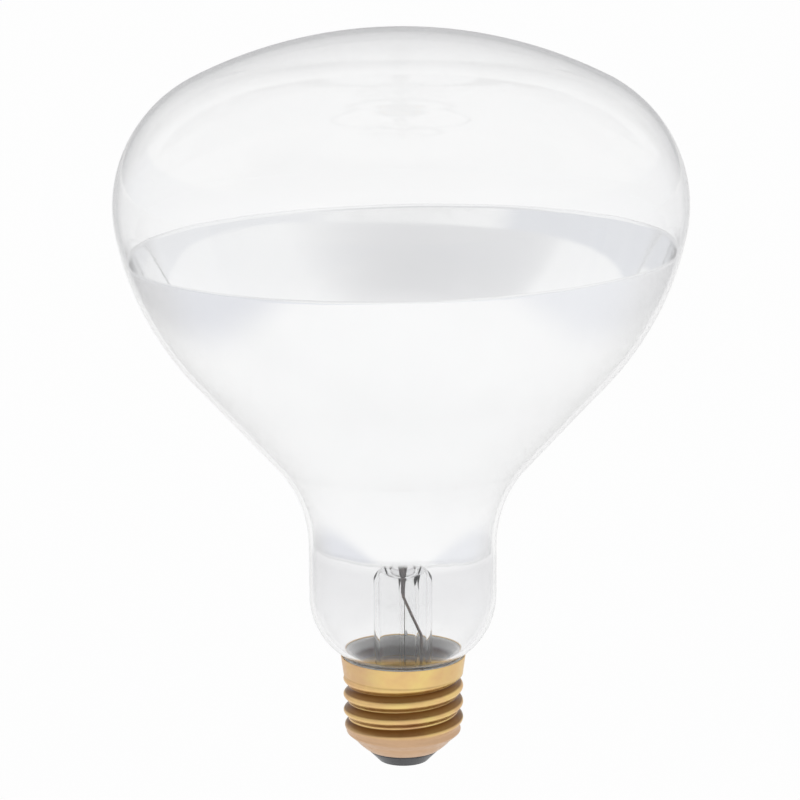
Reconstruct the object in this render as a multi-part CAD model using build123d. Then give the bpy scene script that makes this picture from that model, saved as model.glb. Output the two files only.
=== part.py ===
from build123d import *
from math import acos, ceil, cos, degrees, radians, sin, sqrt, tan
import os

# Incandescent reflector lamp: a blown bulb with a clear dome and a mirror-coated cone, its glass stem and
# filament, and a rolled brass screw base. Millimetres, +Z up along the axis, with the origin at the underside
# of the centre contact. The lamp's front faces -Y, and the press of the stem lies along Y.

# Glass bulb, in order from the dome down to the seal
bulb_diameter = 124.0
crown_radius = 101.0  # round of the dome's middle
knuckle_radius = 30.3  # round of the widest part
knuckle_turn = 10.9  # degrees that this round goes on below the widest part
flank_radius = 65.7  # bowed upper part of the cone
cone_angle = 42.3  # straight part of the cone, degrees from the axis
neck_fillet = 28.0
neck_diameter = 41.3
neck_length = 11.2
heel_radius = 16.0  # rounded lower end of the neck
throat_fillet = 2.5
seal_diameter = 22.4  # short tube under the heel, inside the base
seal_length = 5.7
glass_wall = 1.0
rim_gap = 0.4  # between the heel and the shell's rim

# Mirror coat on the inside of the cone
coating_thickness = 0.15
coating_gap = 0.05  # to the glass
coating_foot_rise = 0.8  # lower edge, above the straight neck
coating_foot_tilt = 2.0  # degrees, lower at +X
coating_rim_drop = 9.5  # upper edge, below the widest part
coating_rim_tilt = -1.05

# Glass stem: a flare tube with a flat press at its top
stem_diameter = 12.9
stem_wall = 1.2
stem_length = 25.4  # from the seal to the press shoulder
ceiling_rise = 1.5  # top of the space inside the tube, above the start of the shoulder
ceiling_fillet = 1.2
press_width = 13.4
press_thickness = 5.0
press_shoulder = 5.2
press_height = 9.8
exhaust_diameter = 4.4
exhaust_wall = 0.7
exhaust_offset = 1.3  # to +X of the axis
exhaust_port_diameter = 1.8  # hole blown through the press shoulder
exhaust_port_depth = 1.5

# Lead-in wires
lead_spacing = 6.8  # between the two wires in the press
seal_wire_diameter = 0.85
seal_wire_tail = 3.9  # below the stem's ceiling, to the weld with the outer lead
seal_wire_reach = 1.6  # above the press
outer_lead_diameter = 0.6
outer_lead_bend = 1.2
kink_drop = 10.0  # below the weld
kink_shift = (3.9, -2.6)  # X and Y of the front lead under its kink
side_lead_diameter = 0.3
side_lead_bend = 0.45
side_lead_clearance = 0.1  # over the rim
inner_lead_diameter = 0.8
inner_lead_bend = 3.0

# Filament and what carries it
filament_rise = 26.6  # above the press
filament_ring_diameter = 22.0
filament_gap = 90.0  # degrees of the ring left open, at +X
coil_diameter = 1.3
filament_leg_diameter = 0.5
filament_leg_length = 2.6
clamp_diameter = 1.5
clamp_length = 1.8
support_count = 5
support_diameter = 0.4
support_bend = 1.5
support_clearance = 0.08  # between a support's loop and the coil
support_root = 1.3  # how far from the axis a support is held in the button
arbor_diameter = 3.2
button_rise = 14.6  # above the press
button_diameter = 6.6
button_thickness = 4.0

# Screw base: a rolled shell on a glass button
threads_per_inch = 7
thread_crest_diameter = 26.6
thread_root_diameter = 24.4
thread_crest_height = 15.9  # a crest's height at -X
thread_foot_height = 7.4  # where the thread has died out above the bowl
thread_full_height = 9.9  # where it has its full depth
discs_per_turn = 8  # sections that the thread is lofted through
sheet = 0.3
bowl_radius = 14.3  # round lower end of the shell
bowl_height = 2.4
lip_diameter = 16.6  # opening at the bottom of the bowl
lip_height = 3.5
foot_run_out = 50.0  # cone on which the thread ends above the bowl, degrees from the axis
collar_foot_diameter = 26.5
collar_height = 4.3
collar_run_out = 1.3  # height in which the thread's groove fades into the collar
rim_diameter = 27.7
rim_height = 25.0
cement_recess = 0.2  # below the rim
insulator_foot_diameter = 11.2
contact_diameter = 8.0
contact_thickness = 0.4
contact_round = 0.25
shank_diameter = 3.0
shank_length = 4.0
shank_clearance = 0.1  # round the lead
contact_solder_diameter = 5.2
contact_solder_height = 0.25
contact_solder_flat = 2.6
side_solder_radius = 1.1

# Values worked out from the sizes above
bulb_r = bulb_diameter / 2
neck_r = neck_diameter / 2
seal_r = seal_diameter / 2
stem_r = stem_diameter / 2
lip_r = lip_diameter / 2
thread_pitch = 25.4 / threads_per_inch
thread_crest_r = thread_crest_diameter / 2
thread_root_r = thread_root_diameter / 2
thread_mean_r = (thread_crest_r + thread_root_r) / 2
thread_eccentricity = (thread_crest_r - thread_root_r) / 2
rim_r = rim_diameter / 2
collar_foot_height = rim_height - collar_height
lead_y = lead_spacing / 2
bowl_centre_height = lip_height + sqrt(bowl_radius**2 - lip_r**2)
bowl_top = lip_height + bowl_height
contact_face = contact_solder_height
contact_seat = contact_face + contact_thickness
lead_axis_height = contact_seat + 2 * shank_length  # where the contact lead reaches the axis


def polar(centre, radius, angle):
    """Point at an angle in degrees on a circle."""
    return (centre[0] + radius * cos(radians(angle)), centre[1] + radius * sin(radians(angle)))


def turned(*edges):
    """Solid of revolution from a closed outline drawn as (radius, height)."""
    return revolve(Plane.XZ * make_face(edges), Axis.Z)


def turned_polygon(*points):
    """Solid of revolution from straight edges only."""
    return turned(*Polyline(*points, close=True).edges())


def wire(points, diameter, bend):
    """Round wire along straight runs joined by bends."""
    path = FilletPolyline(*points, radius=bend)
    section = Plane(path @ 0, z_dir=path % 0) * Circle(diameter / 2)
    return sweep(section, path=path)


def post(x, y, foot, top, diameter):
    """Upright round bar between two heights."""
    return Pos(x, y, foot) * extrude(Circle(diameter / 2), top - foot)


# Centres of the bulb's rounds, from the heel up, and the angles where one round hands over to the next
heel_centre_r = neck_r - heel_radius
heel_rise = sqrt((heel_radius + rim_gap) ** 2 - (rim_r - sheet - heel_centre_r) ** 2)
heel_centre = (heel_centre_r, rim_height + heel_rise)
heel_turn = degrees(acos((seal_r + throat_fillet - heel_centre[0]) / (heel_radius + throat_fillet)))
throat_centre = polar(heel_centre, heel_radius + throat_fillet, -heel_turn)
fillet_centre = (neck_r + neck_fillet, heel_centre[1] + neck_length)
cone_foot = polar(fillet_centre, neck_fillet, 180 - cone_angle)
knuckle_centre_r = bulb_r - knuckle_radius
flank_centre_r = knuckle_centre_r - (flank_radius - knuckle_radius) * cos(radians(knuckle_turn))
cone_top_r = flank_centre_r + flank_radius * cos(radians(cone_angle))
cone_top_height = cone_foot[1] + (cone_top_r - cone_foot[0]) / tan(radians(cone_angle))
flank_centre = (flank_centre_r, cone_top_height + flank_radius * sin(radians(cone_angle)))
knuckle_centre = polar(flank_centre, flank_radius - knuckle_radius, -knuckle_turn)
crown_turn = degrees(acos(knuckle_centre_r / (crown_radius - knuckle_radius)))
crown_centre = (0, knuckle_centre[1] - (crown_radius - knuckle_radius) * sin(radians(crown_turn)))

# Heights inside the bulb, from the seal up
seal_height = throat_centre[1] - seal_length
stem_tube_top = seal_height + stem_length
stem_ceiling = stem_tube_top + ceiling_rise
press_foot = stem_tube_top + press_shoulder
press_top = press_foot + press_height
seal_wire_foot = stem_ceiling - seal_wire_tail
button_height = press_top + button_rise
filament_height = press_top + filament_rise
coating_foot = fillet_centre[1] + coating_foot_rise
coating_rim = knuckle_centre[1] - coating_rim_drop


def bulb_outline(inset):
    """Outline of the bulb from the seal up to the top, drawn in by the inset, as a list of edges."""
    throat = CenterArc(throat_centre, throat_fillet + inset, 180, -heel_turn)
    heel = CenterArc(heel_centre, heel_radius - inset, -heel_turn, heel_turn)
    fillet = CenterArc(fillet_centre, neck_fillet + inset, 180, -cone_angle)
    flank = CenterArc(flank_centre, flank_radius - inset, -cone_angle, cone_angle - knuckle_turn)
    knuckle = CenterArc(knuckle_centre, knuckle_radius - inset, -knuckle_turn, knuckle_turn + crown_turn)
    crown = CenterArc(crown_centre, crown_radius - inset, crown_turn, 90 - crown_turn)
    seal_tube = Line((seal_r - inset, seal_height), throat @ 0)
    neck = Line(heel @ 1, fillet @ 0)
    cone = Line(fillet @ 1, flank @ 0)
    return [seal_tube, throat, heel, neck, fillet, cone, flank, knuckle, crown]


def bulb_layer(outer_inset, inner_inset):
    """Layer of the bulb between two insets, open at the seal."""
    outer = bulb_outline(outer_inset)
    inner = bulb_outline(inner_inset)
    top = Line(outer[-1] @ 1, inner[-1] @ 1)
    end = Line(outer[0] @ 0, inner[0] @ 0)
    return turned(*outer, top, *inner, end)


def bulb_block():
    """The bulb's outer form as a solid, to cut what lies against it."""
    outline = bulb_outline(0)
    axis = Line((0, seal_height), outline[-1] @ 1)
    end = Line((0, seal_height), outline[0] @ 0)
    return turned(*outline, axis, end)


def make_coating():
    """Mirror coat: the layer inside the glass, cut at the neck and at the rim."""
    face = glass_wall + coating_gap
    layer = bulb_layer(face, face + coating_thickness)
    foot = Plane.XY.offset(coating_foot).rotated((0, coating_foot_tilt, 0))
    rim = Plane.XY.offset(coating_rim).rotated((0, coating_rim_tilt, 0))
    return split(split(layer, bisect_by=foot, keep=Keep.TOP), bisect_by=rim, keep=Keep.BOTTOM)


def make_seal_wire(y):
    """Thick wire through the press."""
    return post(0, y, seal_wire_foot, press_top + seal_wire_reach, seal_wire_diameter)


def make_stem(seal_wires):
    """Flare tube with its trumpet foot and its flat press, pierced by the two seal wires."""
    flare_radius = seal_r - glass_wall - stem_r
    flare_centre = (stem_r + flare_radius, seal_height + flare_radius)
    foot_height = seal_height - stem_wall
    bore_r = stem_r - stem_wall

    flare = CenterArc(flare_centre, flare_radius, 180, 90)
    body = turned(
        Line((0, stem_tube_top), (stem_r, stem_tube_top)),
        Line((stem_r, stem_tube_top), flare @ 0),
        flare,
        *Polyline(flare @ 1, (seal_r, seal_height), (seal_r, foot_height), (0, foot_height)).edges(),
        Line((0, foot_height), (0, stem_tube_top)),
    )
    press_section = Rot(0, 0, 90) * SlotOverall(press_width, press_thickness)
    shoulder_foot = Pos(0, 0, stem_tube_top) * Circle(stem_r)
    shoulder_top = Pos(0, 0, press_foot) * press_section
    shoulder = loft([shoulder_foot.face(), shoulder_top.face()])
    press = extrude(shoulder_top, press_height)

    inner_flare = CenterArc(flare_centre, flare_radius + stem_wall, 180, 90)
    corner = CenterArc((bore_r - ceiling_fillet, stem_ceiling - ceiling_fillet), ceiling_fillet, 90, -90)
    bore = turned(
        Line((0, stem_ceiling), corner @ 0),
        corner,
        Line(corner @ 1, inner_flare @ 0),
        inner_flare,
        Line(inner_flare @ 1, (0, foot_height)),
        Line((0, foot_height), (0, stem_ceiling)),
    )
    port_height = stem_ceiling + exhaust_port_depth / 2
    pocket_diameter = exhaust_diameter - 2 * exhaust_wall
    pocket = post(exhaust_offset, 0, stem_ceiling, stem_ceiling + exhaust_port_depth, pocket_diameter)
    port_plane = Plane((exhaust_offset, 0, port_height), z_dir=(1, 0, 0))
    port = extrude(port_plane * Circle(exhaust_port_diameter / 2), stem_diameter)

    stem = body + shoulder + press - bore - pocket - port
    for seal_wire in seal_wires:
        stem -= seal_wire
    return stem


def make_exhaust_tube():
    """Pumping tube under the stem's ceiling, closed to a rounded end between the seal and the lead's bend."""
    outer_r = exhaust_diameter / 2
    inner_r = outer_r - exhaust_wall
    tip = (seal_height + lead_axis_height) / 2
    outer_end = CenterArc((0, tip + outer_r), outer_r, -90, 90)
    inner_end = CenterArc((0, tip + outer_r + exhaust_wall), inner_r, -90, 90)
    tube = turned(
        outer_end,
        *Polyline(outer_end @ 1, (outer_r, stem_ceiling), (inner_r, stem_ceiling), inner_end @ 1).edges(),
        inner_end,
        Line(inner_end @ 0, outer_end @ 0),
    )
    return Pos(exhaust_offset, 0, 0) * tube


def make_contact_lead():
    """Front outer lead: kinked inside the stem, then down through the eyelet to the solder."""
    stub = seal_wire_foot - outer_lead_diameter
    turn_height = seal_height - stem_wall
    points = [
        (0, -lead_y, seal_wire_foot),
        (0, -lead_y, stub),
        (*kink_shift, seal_wire_foot - kink_drop),
        (*kink_shift, turn_height),
        (0, 0, lead_axis_height),
        (0, 0, contact_face),
    ]
    return wire(points, outer_lead_diameter, [outer_lead_diameter / 2] + 3 * [outer_lead_bend])


def make_shell_lead():
    """Back outer lead: down the stem, up between the seal and the shell, and out over the rim."""
    turn_height = seal_height - 2 * stem_wall
    gap_y = (seal_r + thread_root_r - sheet) / 2
    over_rim = rim_height + side_lead_diameter / 2 + side_lead_clearance
    points = [
        (0, lead_y, seal_wire_foot),
        (0, lead_y, turn_height),
        (0, gap_y, turn_height),
        (0, gap_y, collar_foot_height + cement_recess),
        (0, rim_r - sheet - 2 * side_lead_clearance, over_rim),
        (0, rim_r + side_solder_radius / 2, over_rim),
    ]
    return wire(points, side_lead_diameter, side_lead_bend)


def make_filament():
    """Outer form of the coil, an open ring, with a straight leg at each end."""
    ring_r = filament_ring_diameter / 2
    path = CenterArc((0, 0, filament_height), ring_r, filament_gap / 2, 360 - filament_gap)
    coil = sweep(Plane(path @ 0, z_dir=path % 0) * Circle(coil_diameter / 2), path=path)
    for end, way in ((0, -1), (1, 1)):
        leg = Plane(path @ end, z_dir=way * (path % end)) * Circle(filament_leg_diameter / 2)
        coil += extrude(leg, filament_leg_length)
    return coil


def make_inner_lead(side, filament):
    """Stiff lead from the press to a clamp on the filament's leg, on the front (-1) or the back (1)."""
    ring_r = filament_ring_diameter / 2
    end_angle = side * filament_gap / 2
    end = Vector(*polar((0, 0), ring_r, end_angle), filament_height)
    outward = Vector(*polar((0, 0), 1, end_angle - side * 90))
    clamp_start = end + outward * (filament_leg_length - clamp_length)
    clamp = extrude(Plane(clamp_start, z_dir=outward) * Circle(clamp_diameter / 2), clamp_length)
    grip = clamp_start + outward * (clamp_length / 2)
    foot = press_top + seal_wire_reach
    points = [
        (0, side * lead_y, foot),
        (0, side * lead_y, foot + 2 * inner_lead_bend),
        (grip.X, grip.Y, filament_height - 2 * inner_lead_bend),
        (grip.X, grip.Y, filament_height),
    ]
    return wire(points, inner_lead_diameter, inner_lead_bend) + clamp - filament


def make_support(angle):
    """Hooked wire from the button to a loop round the coil."""
    ring_r = filament_ring_diameter / 2
    loop_r = (coil_diameter + support_diameter) / 2 + support_clearance
    loop_foot = filament_height - loop_r
    points = [
        (support_root, 0, button_height),
        (button_diameter / 2 + support_bend, 0, button_height),
        (ring_r, 0, loop_foot - 2 * support_bend),
        (ring_r, 0, loop_foot),
    ]
    loop = Pos(ring_r, 0, filament_height) * Rot(90, 0, 0) * Torus(loop_r, support_diameter / 2)
    return Rot(0, 0, angle) * (wire(points, support_diameter, support_bend) + loop)


def make_arbor(supports):
    """Glass rod on the press with a flattened button at its top, which holds the supports."""
    rod = post(0, 0, press_top, button_height, arbor_diameter)
    button = turned(
        EllipticalCenterArc((0, button_height), button_diameter / 2, button_thickness / 2, -90, arc_size=180),
        Line((0, button_height - button_thickness / 2), (0, button_height + button_thickness / 2)),
    )
    arbor = rod + button
    for support in supports:
        arbor -= support
    return arbor


def threaded_rod(inset, foot, top):
    """Round thread, dying out at its foot: an off-centre disc that circles the axis once for each pitch."""
    steps = ceil(discs_per_turn * (top - foot) / thread_pitch)
    discs = []
    for i in range(steps + 1):
        height = foot + (top - foot) * i / steps
        angle = 180 + 360 * (height - thread_crest_height) / thread_pitch
        share = (height - thread_foot_height) / (thread_full_height - thread_foot_height)
        shift = thread_eccentricity * min(max(share, 0), 1)
        discs.append(Pos(*polar((0, 0), shift, angle), height) * Circle(thread_mean_r - inset))
    return loft([disc.face() for disc in discs])


def collar_radius(height):
    """Outer radius of the collar, which widens from its foot to the rim."""
    share = (height - collar_foot_height) / (rim_height - collar_foot_height)
    return (collar_foot_diameter + share * (rim_diameter - collar_foot_diameter)) / 2


def collar_form(inset):
    """Plain collar over the thread, with a cone under it that fills the thread's groove."""
    top = rim_height + inset
    return turned_polygon(
        (0, collar_foot_height - collar_run_out),
        (thread_root_r - sheet - inset, collar_foot_height - collar_run_out),
        (collar_radius(collar_foot_height) - inset, collar_foot_height),
        (collar_radius(top) - inset, top),
        (0, top),
    )


def bowl_radius_at(height, inset):
    """Radius of the round bowl at a height."""
    return sqrt((bowl_radius - inset) ** 2 - (bowl_centre_height - height) ** 2)


def bowl_arc(inset):
    """Half outline of the bowl from the lip up to the thread."""
    centre = (0, bowl_centre_height)
    start = -degrees(acos(bowl_radius_at(lip_height, inset) / (bowl_radius - inset)))
    end = -degrees(acos(bowl_radius_at(bowl_top, inset) / (bowl_radius - inset)))
    return CenterArc(centre, bowl_radius - inset, start, end - start)


def lower_form(inset):
    """Bowl, and above it the lower thread, which runs out on a cone."""
    side = bowl_arc(inset)
    bowl = turned(side, *Polyline(side @ 1, (0, bowl_top), (0, lip_height), side @ 0).edges())
    foot_r = bowl_radius_at(bowl_top, inset)
    cone_height = (bowl_radius - foot_r) / tan(radians(foot_run_out))
    limit = turned_polygon(
        (0, bowl_top),
        (foot_r, bowl_top),
        (bowl_radius, bowl_top + cone_height),
        (bowl_radius, bowl_centre_height),
        (0, bowl_centre_height),
    )
    return (threaded_rod(inset, bowl_top, bowl_centre_height) & limit) + bowl


def upper_form(inset):
    """Upper thread, chamfered at its top, which runs out under the collar."""
    thread_top = collar_foot_height + thread_crest_r - thread_root_r
    chamfer = turned_polygon(
        (0, lip_height),
        (bowl_radius - inset, lip_height),
        (bowl_radius - inset, collar_foot_height + thread_crest_r - bowl_radius),
        (thread_root_r - inset, thread_top),
        (0, thread_top),
    )
    return (threaded_rod(inset, bowl_centre_height, thread_top) & chamfer) + collar_form(inset)


def make_shell():
    """Rolled sheet shell: the thread shows on both faces, and both ends are open."""
    lower = lower_form(0) - lower_form(sheet)
    upper = upper_form(0) - upper_form(sheet)
    return lower + upper


def make_insulator():
    """Glass button that fills the bowl and stands out of the lip to carry the contact."""
    side = bowl_arc(sheet)
    shank_r = shank_diameter / 2
    foot_r = insulator_foot_diameter / 2
    return turned(
        side,
        *Polyline(side @ 1, (shank_r, bowl_top), (shank_r, contact_seat), (foot_r, contact_seat)).edges(),
        *Polyline((foot_r, contact_seat), (lip_r, lip_height), side @ 0).edges(),
    )


def make_eyelet():
    """Centre contact: a disc with a rounded edge and a hollow shank."""
    contact_r = contact_diameter / 2
    bore_r = outer_lead_diameter / 2 + shank_clearance
    edge = CenterArc((contact_r - contact_round, contact_face + contact_round), contact_round, -90, 90)
    shank_r = shank_diameter / 2
    shank_top = contact_seat + shank_length
    return turned(
        Line((bore_r, contact_face), edge @ 0),
        edge,
        *Polyline(edge @ 1, (contact_r, contact_seat), (shank_r, contact_seat), (shank_r, shank_top)).edges(),
        *Polyline((shank_r, shank_top), (bore_r, shank_top), (bore_r, contact_face)).edges(),
    )


def make_contact_solder():
    """Low drop under the contact, flattened where it meets a socket."""
    flat_r = contact_solder_flat / 2
    outer_r = contact_solder_diameter / 2
    round_r = outer_r - flat_r
    side = EllipticalCenterArc((flat_r, contact_face), round_r, contact_solder_height, -90, arc_size=90)
    return turned(side, *Polyline(side @ 1, (0, contact_face), (0, 0), side @ 0).edges())


def make_cement(bulb, lead):
    """Ring of cement between the seal tube and the collar, with the side lead through it."""
    top = rim_height - cement_recess
    inner_r = seal_r - glass_wall
    ring = turned_polygon(
        (inner_r, collar_foot_height),
        (collar_radius(collar_foot_height) - sheet, collar_foot_height),
        (collar_radius(top) - sheet, top),
        (inner_r, top),
    )
    return ring - bulb - lead


def make_side_solder(bulb, lead):
    """Drop of solder over the end of the side lead, on the rim."""
    drop = Pos(0, rim_r, rim_height - side_lead_diameter) * Sphere(side_solder_radius)
    return drop - collar_form(0) - bulb - lead


def make_pieces():
    """Every piece of the lamp by name."""
    bulb = bulb_block()
    seal_wires = [make_seal_wire(-lead_y), make_seal_wire(lead_y)]
    filament = make_filament()
    first_angle = filament_gap / 2
    step = (360 - filament_gap) / (support_count + 1)
    supports = [make_support(first_angle + step * (i + 1)) for i in range(support_count)]
    shell_lead = make_shell_lead()
    pieces = {
        "glass_envelope": bulb_layer(0, glass_wall),
        "reflector_coating": make_coating(),
        "glass_stem": make_stem(seal_wires),
        "exhaust_tube": make_exhaust_tube(),
        "seal_wire_front": seal_wires[0],
        "seal_wire_back": seal_wires[1],
        "outer_lead_contact": make_contact_lead(),
        "outer_lead_shell": shell_lead,
        "inner_lead_front": make_inner_lead(-1, filament),
        "inner_lead_back": make_inner_lead(1, filament),
        "filament": filament,
        "support_arbor": make_arbor(supports),
        "base_shell": make_shell(),
        "base_insulator": make_insulator(),
        "contact_eyelet": make_eyelet(),
        "contact_solder": make_contact_solder(),
        "basing_cement": make_cement(bulb, shell_lead),
        "side_solder": make_side_solder(bulb, shell_lead),
    }
    for number, support in enumerate(supports, start=1):
        pieces[f"filament_support_{number}"] = support
    return pieces


os.makedirs("parts", exist_ok=True)
for name, shape in make_pieces().items():
    shape.label = name
    export_step(shape, f"parts/{name}.step")
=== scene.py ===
from math import acos, asin, cos, degrees, hypot, pi, radians, sin, sqrt, tan

import bpy
from mathutils import Matrix, Vector, noise


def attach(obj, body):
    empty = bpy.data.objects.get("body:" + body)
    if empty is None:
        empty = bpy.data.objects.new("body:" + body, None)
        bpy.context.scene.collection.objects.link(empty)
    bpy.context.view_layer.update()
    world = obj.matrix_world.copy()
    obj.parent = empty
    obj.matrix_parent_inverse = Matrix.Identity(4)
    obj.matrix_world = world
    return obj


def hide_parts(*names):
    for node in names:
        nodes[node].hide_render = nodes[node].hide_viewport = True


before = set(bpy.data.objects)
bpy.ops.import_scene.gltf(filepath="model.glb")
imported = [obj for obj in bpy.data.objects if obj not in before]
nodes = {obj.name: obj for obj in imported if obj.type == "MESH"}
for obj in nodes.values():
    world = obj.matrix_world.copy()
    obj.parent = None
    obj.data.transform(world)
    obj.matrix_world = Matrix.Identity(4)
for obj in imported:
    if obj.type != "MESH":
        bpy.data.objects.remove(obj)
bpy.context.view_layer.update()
scene = bpy.context.scene
scene.view_settings.view_transform = "Standard"
scene.cycles.max_bounces = 24
scene.cycles.transmission_bounces = 24

MM = 0.001

# Bulb, in millimetres, as in the part's source
bulb_diameter = 124.0
crown_radius = 101.0
knuckle_radius = 30.3
knuckle_turn = 10.9
flank_radius = 65.7
cone_angle = 42.3
neck_fillet = 28.0
neck_diameter = 41.3
neck_length = 11.2
heel_radius = 16.0
throat_fillet = 2.5
seal_diameter = 22.4
seal_length = 5.7
glass_wall = 1.0
rim_gap = 0.4

# Mirror coat
coat_offset = 0.06
coat_thickness = 0.12
coat_foot_rise = -0.2
coat_foot_tilt = 2.0
coat_rim_drop = 9.5
coat_rim_tilt = -1.05
coat_rim_inset = 3.0
coat_fade = 1.2  # height in which the film thins out towards its foot

# Stem
stem_diameter = 12.9
stem_wall = 1.2
stem_length = 25.4
ceiling_rise = 1.5
ceiling_fillet = 1.2
press_width = 13.4
press_thickness = 5.0
press_shoulder = 5.2
press_height = 9.8
press_edge = 0.6
exhaust_diameter = 4.4
exhaust_wall = 0.7
exhaust_offset = 1.3
exhaust_tip = 12.83

# Filament and its carrier
filament_rise = 26.6
filament_ring_diameter = 22.0
filament_gap = 90.0
filament_spans = 6
filament_sag = 0.25
coil_diameter = 1.3
coil_wire = 0.22
coil_turns = 110
leg_length = 2.6
arbor_diameter = 3.2
arbor_foot = ((0.9, 0.02), (0.25, 0.5), (0.0, 1.4))  # how much wider than the rod, and how high
button_rise = 14.6
button_diameter = 6.6
button_thickness = 4.0

# Screw base
pitch = 25.4 / 7
crest_r = 13.3
root_r = 12.2
crest_height = 15.9
thread_foot = 7.4
thread_full = 9.9
thread_softness = 0.2
thread_under_collar = 0.9
sheet = 0.3
bowl_radius = 14.3
bowl_top = 5.9
lip_diameter = 16.6
lip_height = 3.5
foot_run_out = 50.0
collar_foot_diameter = 26.5
collar_height = 4.3
collar_run_out = 1.3
collar_dip = 1.4
rim_diameter = 27.7
rim_height = 25.0
shell_bevel = 0.08
cement_recess = 0.2
cement_gap = 0.06
insulator_foot_r = 5.6
insulator_edge = 0.3
contact_seat = 0.65
shank_r = 1.5

# Clearances between pieces that are fused or pressed together
fused_gap = 0.02
seat_gap = 0.03
lip_gap = 0.05
lip_step = 0.1

# Fineness of the meshes: steps round the axis, and rows from foot to top
bulb_steps = 224
coat_steps, coat_rows = 192, 72
stem_steps = 96
tube_steps = 64
shell_steps, shell_rows = 256, 172
insulator_steps = 96
cement_steps = 128
coil_steps = 14  # points to a turn

# Worked out from these
bulb_r, neck_r, seal_r, stem_r = bulb_diameter / 2, neck_diameter / 2, seal_diameter / 2, stem_diameter / 2
lip_r, rim_r = lip_diameter / 2, rim_diameter / 2
mean_r, eccentricity = (crest_r + root_r) / 2, (crest_r - root_r) / 2
collar_foot_height = rim_height - collar_height
bowl_centre = lip_height + sqrt(bowl_radius**2 - lip_r**2)


def polar(centre, radius, angle):
    return (centre[0] + radius * cos(radians(angle)), centre[1] + radius * sin(radians(angle)))


heel_centre_r = neck_r - heel_radius
heel_rise = sqrt((heel_radius + rim_gap) ** 2 - (rim_r - sheet - heel_centre_r) ** 2)
heel_centre = (heel_centre_r, rim_height + heel_rise)
heel_turn = degrees(acos((seal_r + throat_fillet - heel_centre[0]) / (heel_radius + throat_fillet)))
throat_centre = polar(heel_centre, heel_radius + throat_fillet, -heel_turn)
fillet_centre = (neck_r + neck_fillet, heel_centre[1] + neck_length)
cone_foot = polar(fillet_centre, neck_fillet, 180 - cone_angle)
knuckle_centre_r = bulb_r - knuckle_radius
flank_centre_r = knuckle_centre_r - (flank_radius - knuckle_radius) * cos(radians(knuckle_turn))
cone_top_r = flank_centre_r + flank_radius * cos(radians(cone_angle))
cone_top_height = cone_foot[1] + (cone_top_r - cone_foot[0]) / tan(radians(cone_angle))
flank_centre = (flank_centre_r, cone_top_height + flank_radius * sin(radians(cone_angle)))
knuckle_centre = polar(flank_centre, flank_radius - knuckle_radius, -knuckle_turn)
crown_turn = degrees(acos(knuckle_centre_r / (crown_radius - knuckle_radius)))
crown_centre = (0, knuckle_centre[1] - (crown_radius - knuckle_radius) * sin(radians(crown_turn)))
seal_height = throat_centre[1] - seal_length
stem_tube_top = seal_height + stem_length
stem_ceiling = stem_tube_top + ceiling_rise
press_foot = stem_tube_top + press_shoulder
press_top = press_foot + press_height
button_height = press_top + button_rise
filament_height = press_top + filament_rise
coat_foot = fillet_centre[1] + coat_foot_rise
coat_rim = knuckle_centre[1] - coat_rim_drop


def rise(value, start, length):
    """Share of a straight rise from 0 at the start to 1; a negative length falls instead."""
    return min(max((value - start) / length, 0.0), 1.0)


def smooth(share):
    return share * share * (3 - 2 * share)


def circle(steps):
    """Angles round the axis."""
    return [2 * pi * k / steps for k in range(steps)]


def arc(centre, radius, start, end, count):
    """Points on an arc, its first one left out."""
    return [polar(centre, radius, start + (end - start) * (i + 1) / count) for i in range(count)]


def run(a, b, count):
    """Points on a straight run, its first one left out."""
    shares = [(i + 1) / count for i in range(count)]
    return [(a[0] + (b[0] - a[0]) * share, a[1] + (b[1] - a[1]) * share) for share in shares]


def bulb_outline(inset):
    """Half outline of the bulb, (radius, height), from the seal up to the top."""
    points = [(seal_r - inset, seal_height)]
    throat_start = (seal_r - inset, throat_centre[1])
    points += run(points[-1], throat_start, 6)
    points += arc(throat_centre, throat_fillet + inset, 180, 180 - heel_turn, 12)
    points += arc(heel_centre, heel_radius - inset, -heel_turn, 0, 20)
    points += run(points[-1], (neck_r - inset, fillet_centre[1]), 6)
    points += arc(fillet_centre, neck_fillet + inset, 180, 180 - cone_angle, 14)
    cone_end = polar(flank_centre, flank_radius - inset, -cone_angle)
    points += run(points[-1], cone_end, 8)
    points += arc(flank_centre, flank_radius - inset, -cone_angle, -knuckle_turn, 16)
    points += arc(knuckle_centre, knuckle_radius - inset, -knuckle_turn, crown_turn, 26)
    points += arc(crown_centre, crown_radius - inset, crown_turn, 90, 18)
    points[-1] = (0, points[-1][1])
    return points


def at_height(outline, z):
    """Radius of an outline at a height, below the widest part."""
    for (r0, z0), (r1, z1) in zip(outline, outline[1:]):
        if z0 <= z <= z1 and z1 > z0:
            return r0 + (r1 - r0) * (z - z0) / (z1 - z0)
    return outline[-1][0]


def new_object(name, mesh_data, material, node):
    """Mesh object from millimetre vertices and faces, in place of a CAD node on the lamp's body."""
    verts, faces = mesh_data
    mesh = bpy.data.meshes.new(name)
    mesh.from_pydata([Vector(v) * MM for v in verts], [], faces)
    mesh.validate()
    for polygon in mesh.polygons:
        polygon.use_smooth = True
    obj = bpy.data.objects.new(name, mesh)
    scene.collection.objects.link(obj)
    obj.data.materials.append(material)
    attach(obj, "root")
    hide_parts(node)
    return obj


def paint(obj, name, values):
    """Store one number for each vertex, for a material to read."""
    obj.data.attributes.new(name, "FLOAT", "POINT").data.foreach_set("value", values)


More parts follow.
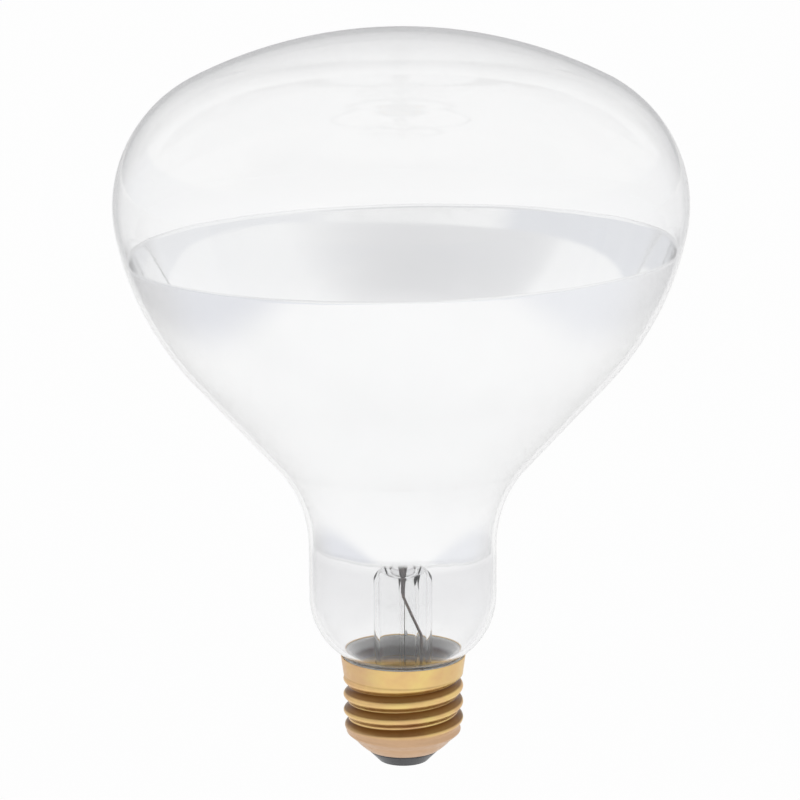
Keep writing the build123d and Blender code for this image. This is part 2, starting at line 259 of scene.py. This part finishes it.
def lathe(profile, segments, closed=False, centre=(0, 0)):
    """Vertices and faces of a turned surface; a point on the axis becomes a pole."""
    verts, faces, rings = [], [], []
    for r, z in profile:
        if r < 1e-6:
            rings.append([len(verts)] * segments)
            verts.append((centre[0], centre[1], z))
        else:
            rings.append(list(range(len(verts), len(verts) + segments)))
            verts += [(centre[0] + r * cos(a), centre[1] + r * sin(a), z) for a in circle(segments)]
    pairs = list(zip(rings, rings[1:]))
    if closed:
        pairs.append((rings[-1], rings[0]))
    for low, high in pairs:
        for k in range(segments):
            n = (k + 1) % segments
            corners = [low[k], low[n], high[n], high[k]]
            face = [v for i, v in enumerate(corners) if v not in corners[:i]]
            if len(face) > 2:
                faces.append(face)
    return verts, faces


def grid(rows, closed=False):
    """Vertices and faces through rows of points, each row a closed ring."""
    verts = [p for row in rows for p in row]
    count = len(rows[0])
    faces = []
    pairs = [(i, i + 1) for i in range(len(rows) - 1)]
    if closed:
        pairs.append((len(rows) - 1, 0))
    for a, b in pairs:
        for k in range(count):
            n = (k + 1) % count
            faces.append([a * count + k, a * count + n, b * count + n, b * count + k])
    return verts, faces


class Nodes:
    """Short forms for building a node tree."""

    # Colour sockets of the Mix node, which shares its sockets' names with its other modes
    MIX_FACTOR, MIX_A, MIX_B, MIX_RESULT = 0, 6, 7, 2

    def __init__(self, tree):
        self.tree = tree

    def node(self, kind, **settings):
        made = self.tree.nodes.new(kind)
        for key, value in settings.items():
            setattr(made, key, value)
        return made

    def feed(self, value, socket):
        """Link an output to a socket, or set the socket to a number or an RGB colour."""
        if isinstance(value, bpy.types.NodeSocket):
            self.tree.links.new(value, socket)
        else:
            socket.default_value = (*value, 1) if isinstance(value, tuple) else value

    def math(self, operation, *values):
        made = self.node("ShaderNodeMath", operation=operation)
        for value, socket in zip(values, made.inputs):
            self.feed(value, socket)
        return made.outputs[0]

    def span(self, value, low, high):
        """Smooth step from 0 at the low value to 1 at the high one."""
        made = self.node("ShaderNodeMapRange", interpolation_type="SMOOTHSTEP")
        for name, part in (("Value", value), ("From Min", low), ("From Max", high)):
            self.feed(part, made.inputs[name])
        return made.outputs["Result"]

    def blend(self, factor, a, b):
        mix = self.node("ShaderNodeMix", data_type="RGBA")
        for value, socket in ((factor, self.MIX_FACTOR), (a, self.MIX_A), (b, self.MIX_B)):
            self.feed(value, mix.inputs[socket])
        return mix.outputs[self.MIX_RESULT]

    def axes(self, coordinates):
        """X, Y and Z of a place or a direction."""
        apart = self.node("ShaderNodeSeparateXYZ")
        self.feed(self.node("ShaderNodeTexCoord").outputs[coordinates], apart.inputs[0])
        return apart.outputs


class Look(Nodes):
    """A node material with a Principled shader."""

    def __init__(self, name, color, roughness, metallic=0.0, **sockets):
        self.material = bpy.data.materials.new(name)
        self.material.use_nodes = True
        super().__init__(self.material.node_tree)
        self.shader = self.tree.nodes["Principled BSDF"]
        self.use(color, "Base Color")
        self.use(roughness, "Roughness")
        self.use(metallic, "Metallic")
        for key, value in sockets.items():
            self.use(value, key.replace("_", " "))

    def use(self, value, socket):
        """Give the shader a constant or an output."""
        self.feed(value, self.shader.inputs[socket])

    def noise(self, scale, detail=4.0, stretch=(1, 1, 1)):
        """Noise in object space, so many waves to the metre."""
        mapping = self.node("ShaderNodeMapping")
        mapping.inputs["Scale"].default_value = stretch
        self.feed(self.node("ShaderNodeTexCoord").outputs["Object"], mapping.inputs["Vector"])
        texture = self.node("ShaderNodeTexNoise")
        for name, part in (("Vector", mapping.outputs["Vector"]), ("Scale", scale), ("Detail", detail)):
            self.feed(part, texture.inputs[name])
        return texture.outputs["Fac"]

    def ramp(self, value, stops):
        """Colour ramp; each stop is a place and a colour or a grey."""
        ramp = self.node("ShaderNodeValToRGB")
        elements = ramp.color_ramp.elements
        while len(elements) < len(stops):
            elements.new(0.5)
        for element, (place, color) in zip(elements, stops):
            element.position = place
            element.color = (*color, 1) if isinstance(color, tuple) else (color, color, color, 1)
        self.feed(value, ramp.inputs["Fac"])
        return ramp.outputs["Color"]

    def attribute(self, name):
        return self.node("ShaderNodeAttribute", attribute_name=name).outputs["Fac"]

    def mask(self, name):
        """A painted attribute, held between 0 and 1."""
        return self.ramp(self.attribute(name), [(0.0, 0.0), (1.0, 1.0)])

    def bump(self, height, strength, distance):
        bump = self.node("ShaderNodeBump")
        for name, part in (("Strength", strength), ("Distance", distance), ("Height", height)):
            self.feed(part, bump.inputs[name])
        self.use(bump.outputs["Normal"], "Normal")

    def grained(self, scale, tones, roughness, strength, distance):
        """Tone, roughness and relief from one grain."""
        grain = self.noise(scale, 6.0)
        self.use(self.ramp(grain, tones), "Base Color")
        self.use(self.ramp(grain, roughness), "Roughness")
        self.bump(grain, strength, distance)


def glass(name, color, index, wave, strength):
    """Clear glass with the faint waviness of blown or pressed ware."""
    look = Look(name, color, 0.0, Transmission_Weight=1.0, IOR=index)
    look.bump(look.noise(wave, 2.0), strength, 0.0004)
    return look


def film(name, color, roughness, grain, polish, wave, strength):
    """One face of the mirror film, uneven in polish, which covers as far as it is painted to."""
    look = Look(name, color, roughness, 1.0)
    look.use(look.ramp(look.noise(grain, 6.0), polish), "Roughness")
    look.bump(look.noise(wave, 2.0), strength, 0.0006)
    look.use(look.attribute("cover"), "Alpha")
    return look.material


def wire_look(name, color, roughness, tarnish):
    """Drawn metal wire with patchy tarnish."""
    look = Look(name, color, roughness, 1.0)
    patches = look.noise(900.0, 5.0)
    look.use(look.blend(look.ramp(patches, [(0.35, 0.0), (0.7, 1.0)]), color, tarnish), "Base Color")
    look.use(look.ramp(patches, [(0.3, roughness), (0.8, roughness + 0.25)]), "Roughness")
    look.bump(look.noise(6000.0, 2.0, (1, 1, 0.1)), 0.1, 0.00005)
    return look.material


clear_look = glass("clear_glass", (0.99, 0.992, 0.992), 1.5, 45.0, 0.02)
# Greyer glass where painted; at the crown the grey is painted shade
clear_tones = [(0.0, (0.998, 0.998, 0.998)), (0.4, (0.976, 0.977, 0.977)), (1.0, (0.9, 0.899, 0.903))]
clear_look.use(clear_look.ramp(clear_look.attribute("glass_grey"), clear_tones), "Base Color")
stem_glass = glass("stem_glass", (0.982, 0.984, 0.984), 1.16, 160.0, 0.05).material

mirror_face = film("mirror_face", (0.97, 0.973, 0.976), 0.05, 60.0, [(0.3, 0.03), (0.75, 0.12)], 38.0, 0.04)
mirror_back = film("mirror_back", (0.985, 0.988, 0.99), 0.2, 48.0, [(0.3, 0.08), (0.75, 0.2)], 30.0, 0.05)

cement_look = Look("cement", (0.93, 0.91, 0.88), 0.85)
cement_grain = cement_look.noise(1600.0, 8.0)
cement_pale = cement_look.ramp(cement_grain, [(0.3, (0.94, 0.92, 0.9)), (0.7, (0.98, 0.97, 0.96))])
# Painted shade: dark purple-brown standing in for the shade low inside the base
cement_shade_tone = (0.42, 0.26, 0.27)
cement_look.use(cement_look.blend(cement_look.attribute("cement_shade"), cement_pale, cement_shade_tone), "Base Color")
cement_look.bump(cement_grain, 0.7, 0.0002)

black_glass = Look("black_glass", (0.05, 0.05, 0.055), 0.3, Specular_IOR_Level=0.3)
black_tones = [(0.3, (0.03, 0.03, 0.033)), (0.75, (0.075, 0.075, 0.08))]
black_glass.grained(420.0, black_tones, [(0.3, 0.22), (0.75, 0.45)], 0.25, 0.0002)

solder = Look("solder", (0.62, 0.62, 0.64), 0.38, 1.0)
solder_tones = [(0.3, (0.5, 0.5, 0.52)), (0.75, (0.7, 0.7, 0.71))]
solder.grained(1500.0, solder_tones, [(0.3, 0.3), (0.8, 0.55)], 0.4, 0.0001)

brass = Look("brass", (0.84, 0.6, 0.26), 0.3, 1.0)
brass_tones = [(0.3, (0.92, 0.7, 0.27)), (0.5, (0.88, 0.6, 0.26)), (0.7, (0.78, 0.48, 0.24))]
# Browner bowl tone, also the painted shade on the collar's left and right sides
brass_bowl_and_side_shade = (0.66, 0.43, 0.26)
# Painted shade: dark brown under each crest of the thread and in the crease under the collar
brass_groove_shade = (0.15, 0.06, 0.013)
brass_tone = brass.ramp(brass.noise(140.0, 6.0), brass_tones)
# Browner bowl and painted shade on the collar's sides
brass_tone = brass.blend(brass.mask("bowl"), brass_tone, brass_bowl_and_side_shade)
# Painted shade of the grooves and the crease, laid over the brass tone
brass_tone = brass.blend(brass.mask("groove_shade"), brass_tone, brass_groove_shade)
brass.use(brass_tone, "Base Color")
brass.use(brass.ramp(brass.noise(700.0, 5.0, (1, 1, 3)), [(0.3, 0.3), (0.75, 0.46)]), "Roughness")
brass.bump(brass.noise(1400.0, 3.0, (0.4, 0.4, 2.5)), 0.12, 0.00008)

copper = wire_look("copper_wire", (0.2, 0.17, 0.165), 0.4, (0.28, 0.21, 0.18))
seal_metal = wire_look("seal_wire", (0.22, 0.2, 0.2), 0.5, (0.3, 0.26, 0.25))
nickel = wire_look("nickel_wire", (0.62, 0.61, 0.58), 0.25, (0.42, 0.4, 0.37))
tungsten = wire_look("tungsten", (0.32, 0.32, 0.33), 0.35, (0.2, 0.2, 0.21))
molybdenum = wire_look("molybdenum", (0.5, 0.5, 0.5), 0.3, (0.33, 0.32, 0.3))
eyelet_brass = wire_look("eyelet_brass", (0.8, 0.6, 0.28), 0.35, (0.6, 0.4, 0.18))

# Glass envelope
outer = bulb_outline(0)
inner = bulb_outline(glass_wall)
envelope_mesh = lathe(outer + inner[::-1], bulb_steps, closed=True)
envelope = new_object("glass_envelope_blown", envelope_mesh, clear_look.material, "glass_envelope")

# Grey tint of the glass, with painted shade darkening the crown, and the heights over which they set in
dome_grey, dome_grey_run = 0.4, 6.0
# Painted shade: the crown of the dome greys towards its top
crown_shade, crown_shade_foot, crown_shade_run = 0.35, 148.0, 15.0
neck_grey, neck_grey_foot, neck_grey_run = 0.72, 24.0, 4.0
throat_grey, throat_grey_foot, throat_grey_run = 0.28, 38.0, 6.0
coat_overlap, coat_overlap_run = 0.5, 1.4


def glass_grey_at(x, z):
    """Grey of the glass: strong in the neck, faint in the dome, none over the mirror coat; painted shade greys
    the crown.
    """
    if z > coat_rim:
        crown = rise(z, crown_shade_foot, crown_shade_run)
        return dome_grey * rise(z, coat_rim, dome_grey_run) + crown_shade * crown * crown
    foot = coat_foot - x * tan(radians(coat_foot_tilt))
    neck = rise(z, foot + coat_overlap, -coat_overlap_run) * rise(z, neck_grey_foot, neck_grey_run)
    return neck * (neck_grey + throat_grey * rise(z, throat_grey_foot, throat_grey_run))


# Grey of the glass for each vertex, with painted shade at the crown
paint(envelope, "glass_grey", [glass_grey_at(v.co.x / MM, v.co.z / MM) for v in envelope.data.vertices])


# Mirror coat, with a ragged foot and a clean rim
def wander(angle, waves, seed):
    """Uneven line round the axis, between about -1 and 1."""
    return noise.noise(Vector((waves * cos(angle), waves * sin(angle), seed)))


def coat_column(inset, angle):
    """Points of the coat from its foot to its rim."""
    outline = bulb_outline(inset)
    ragged = 0.5 * wander(angle, 3, 0.7) + 0.25 * wander(angle, 9, 4.2)
    foot = coat_foot - neck_r * cos(angle) * tan(radians(coat_foot_tilt)) + ragged
    rim = coat_rim - (bulb_r - coat_rim_inset) * cos(angle) * tan(radians(coat_rim_tilt))
    rim += 0.12 * wander(angle, 6, 9.1)
    heights = [foot + (rim - foot) * i / (coat_rows - 1) for i in range(coat_rows)]
    return [(at_height(outline, z) * cos(angle), at_height(outline, z) * sin(angle), z) for z in heights]


def coat_face(inset):
    """Rows of one face of the coat, foot first."""
    return [list(row) for row in zip(*[coat_column(inset, a) for a in circle(coat_steps)])]


def cover_of(rows, foot):
    """How far the film covers the glass: it thins out towards its foot."""
    return [min((p[2] - q[2]) / coat_fade, 1.0) for row in rows for p, q in zip(row, foot)]


coat_out = coat_face(glass_wall + coat_offset)
coat_in = coat_face(glass_wall + coat_offset + coat_thickness)
coat_mesh = grid(coat_out + coat_in[::-1], closed=True)
coat = new_object("reflector_coat", coat_mesh, mirror_back, "reflector_coating")
coat.data.materials.append(mirror_face)
inside_start = len(coat_out) * coat_steps
for polygon in coat.data.polygons:
    if min(polygon.vertices) >= inside_start:
        polygon.material_index = 1
paint(coat, "cover", cover_of(coat_out, coat_out[0]) + cover_of(coat_in[::-1], coat_in[0]))


# Stem: flare, tube, shoulder and press in rings from the foot to the top
def press_reach(shrink, angle):
    """Radius at an angle of the press, a rounded bar that lies along Y."""
    x, y = cos(angle), sin(angle)
    half_thickness = press_thickness / 2 - shrink
    straight = press_width / 2 - shrink - half_thickness
    if abs(y) * half_thickness <= straight * abs(x):
        return half_thickness / abs(x)
    b = straight * abs(y)
    return b + sqrt(b * b - straight**2 + half_thickness**2)


def press_ring(share, shrink, z):
    """Ring between the round tube, at share 0, and the flat press, at share 1."""
    row = []
    for a in circle(stem_steps):
        r = stem_r + share * (press_reach(shrink, a) - stem_r)
        row.append((r * cos(a), r * sin(a), z))
    return row


flare_r = seal_r - glass_wall - stem_r
flare_centre = (stem_r + flare_r, seal_height + flare_r)
stem_profile = [(seal_r - fused_gap, seal_height - stem_wall), (seal_r - fused_gap, seal_height - fused_gap)]
stem_profile += [(seal_r - glass_wall, seal_height - fused_gap)]
stem_profile += arc(flare_centre, flare_r, 270, 180, 14)
stem_profile += run(stem_profile[-1], (stem_r, stem_tube_top), 8)
stem_rows = [[(r * cos(a), r * sin(a), z) for a in circle(stem_steps)] for r, z in stem_profile]
for i in range(1, 13):
    stem_rows.append(press_ring(smooth(i / 12), 0.0, stem_tube_top + press_shoulder * i / 12))
for i in range(1, 9):
    stem_rows.append(press_ring(1.0, 0.0, press_foot + (press_height - press_edge) * i / 8))
for i in range(1, 5):
    a = pi / 2 * i / 4
    stem_rows.append(press_ring(1.0, press_edge * (1 - cos(a)), press_top - press_edge + press_edge * sin(a)))
verts, faces = grid(stem_rows)
last_row = (len(stem_rows) - 1) * stem_steps
faces.append([last_row + k for k in range(stem_steps)])
bore_r = stem_r - stem_wall
bore_profile = [(flare_centre[0], seal_height - stem_wall)]
bore_profile += arc(flare_centre, flare_r + stem_wall, 270, 180, 14)
bore_profile += run(bore_profile[-1], (bore_r, stem_ceiling - ceiling_fillet), 8)
bore_profile += arc((bore_r - ceiling_fillet, stem_ceiling - ceiling_fillet), ceiling_fillet, 0, 90, 6)
bore_profile += [((bore_r - ceiling_fillet) / 2, stem_ceiling), (0, stem_ceiling)]
bore_verts, bore_faces = lathe(bore_profile, stem_steps)
start = len(verts)
faces += [[start + v for v in reversed(face)] for face in bore_faces]
verts += bore_verts
for k in range(stem_steps):
    n = (k + 1) % stem_steps
    faces.append([n, k, start + k, start + n])
new_object("glass_stem_drawn", (verts, faces), stem_glass, "glass_stem")

# Pumping tube inside the stem
tube_r = exhaust_diameter / 2
tube_bore = tube_r - exhaust_wall
tube_top = stem_ceiling - seat_gap
tube_out = [(0, exhaust_tip)] + arc((0, exhaust_tip + tube_r), tube_r, -90, 0, 12)
tube_out += run((tube_r, exhaust_tip + tube_r), (tube_r, tube_top), 6)
tube_in = [(0, exhaust_tip + exhaust_wall * 2)]
tube_in += arc((0, exhaust_tip + tube_r + exhaust_wall), tube_bore, -90, 0, 10)
tube_in += run(tube_in[-1], (tube_bore, tube_top), 6)
tube_mesh = lathe(tube_out + tube_in[::-1], tube_steps, centre=(exhaust_offset, 0))
new_object("exhaust_tube_drawn", tube_mesh, stem_glass, "exhaust_tube")

# Arbor: rod with a flattened glass button
rod_r = arbor_diameter / 2
arbor_profile = [(0, press_top + fused_gap)]
arbor_profile += [(rod_r + wider, press_top + height) for wider, height in arbor_foot]
join = asin(rod_r / (button_diameter / 2))
arbor_profile += run(arbor_profile[-1], (rod_r, button_height - button_thickness / 2 * cos(join)), 6)
for i in range(1, 25):
    a = join + (pi - join) * i / 24
    arbor_profile.append((button_diameter / 2 * sin(a), button_height - button_thickness / 2 * cos(a)))
arbor_profile[-1] = (0, arbor_profile[-1][1])
new_object("support_arbor_drawn", lathe(arbor_profile, tube_steps), stem_glass, "support_arbor")

# Filament: a fine coil along an open ring, with straight tails
ring_r = filament_ring_diameter / 2
coil_r = (coil_diameter - coil_wire) / 2
ring_start, ring_sweep = radians(filament_gap / 2), radians(360 - filament_gap)


def coil_point(share):
    """Point of the coil at a share of its length."""
    a = ring_start + ring_sweep * share
    turn = 2 * pi * coil_turns * share
    sag = filament_sag * sin(filament_spans * pi * share) ** 2
    r = ring_r + coil_r * cos(turn)
    return (r * cos(a), r * sin(a), filament_height + coil_r * sin(turn) - sag)


def tail_end(angle, way):
    """End of the straight tail that leaves the ring along its tangent."""
    root = Vector((ring_r * cos(angle), ring_r * sin(angle), filament_height))
    return root + Vector((sin(angle), -cos(angle), 0)) * way * leg_length


coil_count = coil_turns * coil_steps
coil_points = [tail_end(ring_start, 1)]
coil_points += [coil_point(i / coil_count) for i in range(coil_count + 1)]
coil_points += [tail_end(ring_start + ring_sweep, -1)]
curve = bpy.data.curves.new("filament_coil", "CURVE")
curve.dimensions = "3D"
curve.bevel_depth = coil_wire / 2 * MM
curve.bevel_resolution = 1
spline = curve.splines.new("POLY")
spline.points.add(len(coil_points) - 1)
for point, place in zip(spline.points, coil_points):
    point.co = (*(Vector(place) * MM), 1)
filament = bpy.data.objects.new("filament_coil", curve)
scene.collection.objects.link(filament)
curve.materials.append(tungsten)
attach(filament, "root")
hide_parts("filament")


# Screw shell: thread, collar and bowl in one rolled sheet
def thread_radius(angle, z):
    """Round thread, an off-centre circle that turns as it climbs; it dies out at its foot."""
    off = angle - pi - 2 * pi * (z - crest_height) / pitch
    shift = eccentricity * rise(z, thread_foot, thread_full - thread_foot)
    return shift * cos(off) + sqrt(mean_r**2 - (shift * sin(off)) ** 2)


def bowl_at(z):
    return sqrt(bowl_radius**2 - (bowl_centre - z) ** 2)


def collar_at(z):
    share = (z - collar_foot_height) / collar_height
    return (collar_foot_diameter + share * (rim_diameter - collar_foot_diameter)) / 2


def soft_min(a, b, softness):
    return (a + b - sqrt((a - b) ** 2 + softness**2)) / 2


def shell_radius(angle, z):
    """Outer radius of the shell: bowl, run-out cone, thread, and collar, from the lip to the rim."""
    if z <= bowl_top:
        return bowl_at(z)
    run_out = bowl_at(bowl_top) + (z - bowl_top) * tan(radians(foot_run_out))
    thread = thread_radius(angle, min(z, collar_foot_height + thread_under_collar))
    thread = soft_min(thread, run_out, thread_softness)
    share = (z - collar_foot_height) / collar_run_out + 1
    if share <= 0:
        return thread
    collar = collar_at(max(z, collar_foot_height)) - (1 - smooth(min(share, 1))) * collar_dip
    past = smooth(rise(z, collar_foot_height, thread_under_collar))
    return max(collar, thread * (1 - past) + min(thread, collar) * past)


# Painted shade of the grooves, in shares of the pitch: where it sets in below a crest and how it fades
groove_onset, groove_drift, groove_level = 0.36, 0.016, 19.4  # the onset drifts with each mm below the level
groove_edge = 0.05
groove_fades = ((0.12, 0.2, 0.12), (0.38, 0.08, 0.85), (0.48, 0.08, 1.0))  # start, length and depth
# Painted shade in the crease at the foot of the collar
crease_shade, crease_shade_width = 0.3, 0.35
groove_shade_top, groove_shade_top_run = collar_foot_height - 0.1, 0.6
groove_shade_foot, groove_shade_foot_run = 8.8, 1.2

# Browner tone of the whole bowl, and painted shade on the left and right sides of the collar
bowl_tone_top, bowl_tone_run = 10.2, 1.6
collar_tone_run = 0.5
side_shade_left, side_shade_left_start, side_shade_right, side_shade_right_start, side_shade_run = 0.5, 0.25, 0.25, 0.35, 0.4


def groove_shade_at(angle, z):
    """Painted shade of a groove: sharp under the crest above it, fading on the crest below it; and painted
    shade in the crease at the foot of the collar.
    """
    crest = crest_height + pitch * (angle - pi) / (2 * pi)
    onset = groove_onset + groove_drift * (groove_level - z)
    below = ((crest - z) / pitch - onset) % 1
    dark = smooth(rise(below, 0.0, groove_edge))
    for fade_start, length, depth in groove_fades:
        dark *= 1 - depth * rise(below, fade_start, length)
    crease_shading = crease_shade * (1 - smooth(rise(abs(z - collar_foot_height), 0.0, crease_shade_width)))
    in_thread = smooth(rise(z, groove_shade_top, -groove_shade_top_run)) * smooth(rise(z, groove_shade_foot, groove_shade_foot_run))
    return max(dark * in_thread, crease_shading)


def bowl_tone_and_side_shade_at(angle, z):
    """Browner tone of the bowl, and painted shade on the left and right sides of the collar."""
    bowl = smooth(rise(z, bowl_tone_top, -bowl_tone_run))
    left = side_shade_left * smooth(rise(-cos(angle), side_shade_left_start, side_shade_run))
    right = side_shade_right * smooth(rise(cos(angle), side_shade_right_start, side_shade_run))
    return max(bowl, smooth(rise(z, collar_foot_height, collar_tone_run)) * (left + right))


shell_out, shell_in, groove_shade, bowl_and_side_shade = [], [], [], []
for i in range(shell_rows):
    z = lip_height + (rim_height - lip_height) * i / (shell_rows - 1)
    row_out, row_in = [], []
    for a in circle(shell_steps):
        r = shell_radius(a, z)
        row_out.append((r * cos(a), r * sin(a), z))
        row_in.append(((r - sheet) * cos(a), (r - sheet) * sin(a), z))
        groove_shade.append(groove_shade_at(a, z))
        bowl_and_side_shade.append(bowl_tone_and_side_shade_at(a, z))
    shell_out.append(row_out)
    shell_in.append(row_in)
shell_mesh = grid(shell_out + shell_in[::-1], closed=True)
shell = new_object("base_shell_rolled", shell_mesh, brass.material, "base_shell")
inside_unpainted = [0.0] * len(groove_shade)
# Painted shade in the grooves and the crease on the outside; none on the inside
paint(shell, "groove_shade", groove_shade + inside_unpainted)
# Browner bowl tone and painted shade on the collar's sides; none on the inside
paint(shell, "bowl", bowl_and_side_shade + inside_unpainted)
bevel = shell.modifiers.new("edges", "BEVEL")
bevel.width = shell_bevel * MM
bevel.segments = 2
bevel.limit_method = "ANGLE"
bevel.angle_limit = radians(50)

# Insulator
inside_bowl = bowl_radius - sheet - seat_gap
edge_centre = (insulator_foot_r - insulator_edge, contact_seat + insulator_edge)
bowl_start = degrees(asin((lip_height + lip_gap - bowl_centre) / inside_bowl))
bowl_end = degrees(asin((bowl_top - bowl_centre) / inside_bowl))
insulator_profile = [(shank_r + fused_gap, contact_seat)]
insulator_profile += arc(edge_centre, insulator_edge, 270, 325, 8)
insulator_profile += run(insulator_profile[-1], (lip_r - lip_step, lip_height - lip_gap), 6)
insulator_profile += arc((0, bowl_centre), inside_bowl, bowl_start, bowl_end, 12)
insulator_profile += [(shank_r + fused_gap, bowl_top)]
insulator_mesh = lathe(insulator_profile, insulator_steps, closed=True)
new_object("base_insulator_moulded", insulator_mesh, black_glass.material, "base_insulator")

# Cement ring between the collar and the neck
cement_top = rim_height - cement_recess
cement_height = cement_top - collar_foot_height
cement_profile = []
for i in range(9):
    z = collar_foot_height + cement_height * i / 8
    cement_profile.append((collar_at(z) - sheet - cement_gap, z))
for i in range(17):
    z = cement_top - cement_height * i / 16
    cement_profile.append((at_height(outer, z) + cement_gap, z))
cement_mesh = lathe(cement_profile, cement_steps, closed=True)
cement = new_object("basing_cement_ring", cement_mesh, cement_look.material, "basing_cement")

# Painted shade on the cement: below a height, and less round the middle of the back
cement_shade_top, cement_shade_run = 23.6, 0.7
pale_start, pale_run, pale_share = 0.72, 0.14, 0.85


def cement_shade_at(x, y, z):
    """Painted shade on the cement: under a pale top, and least at the middle of the back."""
    middle = rise(y / hypot(x, y), pale_start, pale_run)
    return rise(z, cement_shade_top, -cement_shade_run) * (1 - pale_share * smooth(middle))


# Painted shade on the cement, for each vertex
paint(cement, "cement_shade", [cement_shade_at(*(v.co / MM)) for v in cement.data.vertices])

# Pieces that keep their CAD meshes
for name, material in (
    ("contact_eyelet", eyelet_brass),
    ("contact_solder", solder.material),
    ("side_solder", solder.material),
    ("outer_lead_contact", copper),
    ("outer_lead_shell", copper),
    ("seal_wire_front", seal_metal),
    ("seal_wire_back", seal_metal),
    ("inner_lead_front", nickel),
    ("inner_lead_back", nickel),
    *((f"filament_support_{i}", molybdenum) for i in range(1, 6)),
):
    for slot in nodes[name].material_slots:
        slot.material = material

# Floor: plain and pale, and white to the camera and in glass, apart from bare floor beside a white sheet
floor_drop = 0.1
floor_half = 6.0
floor_glow = 0.92  # share of its own tone; the rest is lit, so that it keeps a shadow
floor_corners = ((-1, -1), (1, -1), (1, 1), (-1, 1))
floor_mesh = bpy.data.meshes.new("floor")
floor_verts = [(x * floor_half, y * floor_half, -floor_drop) for x, y in floor_corners]
floor_mesh.from_pydata(floor_verts, [], [(0, 1, 2, 3)])
floor = bpy.data.objects.new("floor", floor_mesh)
scene.collection.objects.link(floor)
ground = Look("floor", (0.9, 0.9, 0.9), 0.9)
floor_mesh.materials.append(ground.material)
path = ground.node("ShaderNodeLightPath").outputs
seen = ground.math("MAXIMUM", path["Is Camera Ray"], path["Is Glossy Ray"])
seen = ground.math("MAXIMUM", seen, path["Is Transmission Ray"])
glow = ground.node("ShaderNodeEmission")
mix = ground.node("ShaderNodeMixShader")
ground.feed(ground.math("MULTIPLY", seen, floor_glow), mix.inputs[0])
ground.feed(ground.shader.outputs[0], mix.inputs[1])
ground.feed(glow.outputs[0], mix.inputs[2])
ground.feed(mix.outputs[0], ground.tree.nodes["Material Output"].inputs["Surface"])

# The white sheet runs back from the lamp and widens; the floor beside it is blue-grey near the lamp
sheet_spread, sheet_near_half = 0.07, 0.2
sheet_white = (1.0, 1.0, 1.0)
near_left, near_right = (0.81, 0.82, 0.86), (0.88, 0.89, 0.92)
far_left, far_right = (0.76, 0.76, 0.77), (0.84, 0.84, 0.85)
past_tone = (0.86, 0.86, 0.86)
fx, fy, _ = ground.axes("Object")
sheet_half = ground.math("MULTIPLY_ADD", ground.math("MAXIMUM", fy, 0.0), sheet_spread, sheet_near_half)
off_sheet = ground.span(ground.math("DIVIDE", ground.math("ABSOLUTE", fx), sheet_half), 1.0, 1.6)
past_sheet = ground.span(fy, 2.8, 4.8)
to_right = ground.span(fx, -0.1, 0.1)
near_tone = ground.blend(to_right, near_left, near_right)
far_tone = ground.blend(to_right, far_left, far_right)
bare_tone = ground.blend(ground.span(fy, 0.0, 0.3), near_tone, far_tone)
bare_tone = ground.blend(past_sheet, bare_tone, past_tone)
bare = ground.math("MAXIMUM", off_sheet, past_sheet)
ground.feed(ground.blend(bare, sheet_white, bare_tone), glow.inputs["Color"])

# World: a low and a high tone by direction, with soft-edged fields to the front and the back
low_left, low_right = (0.8, 0.81, 0.84), (0.88, 0.885, 0.9)
low_front, low_back = (0.96, 0.96, 0.96), (0.67, 0.67, 0.68)
high_sides, high_front, zenith = (0.99, 0.99, 0.99), (0.8, 0.8, 0.81), (1.0, 1.0, 1.0)
least_depth = 0.05  # keeps the divisions by Y finite
world = bpy.data.worlds.new("studio")
scene.world = world
world.use_nodes = True
sky = Nodes(world.node_tree)
background = sky.tree.nodes["Background"]
background.inputs["Strength"].default_value = 1.0
sx, sy, sz = sky.axes("Generated")
depth_back = sky.math("MAXIMUM", sy, least_depth)
depth_front = sky.math("MAXIMUM", sky.math("MULTIPLY", sy, -1.0), least_depth)
in_front = sky.span(sy, 0.0, -0.2)
back = sky.span(sky.math("DIVIDE", sky.math("ABSOLUTE", sx), depth_back), 1.15, 0.6)
back = sky.math("MULTIPLY", back, sky.span(sy, 0.0, 0.2))
azimuth = sky.math("DIVIDE", sx, depth_front)
low_middle = sky.math("MULTIPLY", sky.span(azimuth, -1.5, -0.8), sky.span(azimuth, 1.1, 0.45))
low_middle = sky.math("MULTIPLY", low_middle, in_front)
high_middle = sky.math("MULTIPLY", sky.span(azimuth, -8.0, -0.4), sky.span(azimuth, 1.7, -0.2))
high_middle = sky.math("MULTIPLY", high_middle, in_front)
low_tone = sky.blend(sky.span(sx, -0.5, 0.5), low_left, low_right)
low_tone = sky.blend(low_middle, low_tone, low_front)
low_tone = sky.blend(back, low_tone, low_back)
high_tone = sky.blend(high_middle, high_sides, high_front)
high_tone = sky.blend(sky.span(sz, 0.8, 0.95), high_tone, zenith)
lean = sky.math("ADD", sy, sky.math("MULTIPLY", sx, 0.2))
horizon = sky.math("ADD", sz, sky.math("MULTIPLY", lean, 0.16))
crisp = sky.span(horizon, 0.31, 0.335)
gradual = sky.span(sz, 0.0, 0.8)
sky.feed(sky.blend(sky.blend(back, crisp, gradual), low_tone, high_tone), background.inputs["Color"])

# Camera, fitted to the outline in the photograph
camera_pitch, camera_roll = 12.62, -0.27
camera_data = bpy.data.cameras.new("camera")
camera_data.lens = 152.55
camera_data.sensor_width = 36.0
camera_data.clip_start = 0.01
camera = bpy.data.objects.new("camera", camera_data)
camera.location = (-0.00044, -0.721, 0.244)
tilt = Matrix.Rotation(radians(90 - camera_pitch), 3, "X")
camera.rotation_euler = (tilt @ Matrix.Rotation(radians(camera_roll), 3, "Z")).to_euler()
scene.collection.objects.link(camera)
scene.camera = camera

bpy.context.view_layer.update()
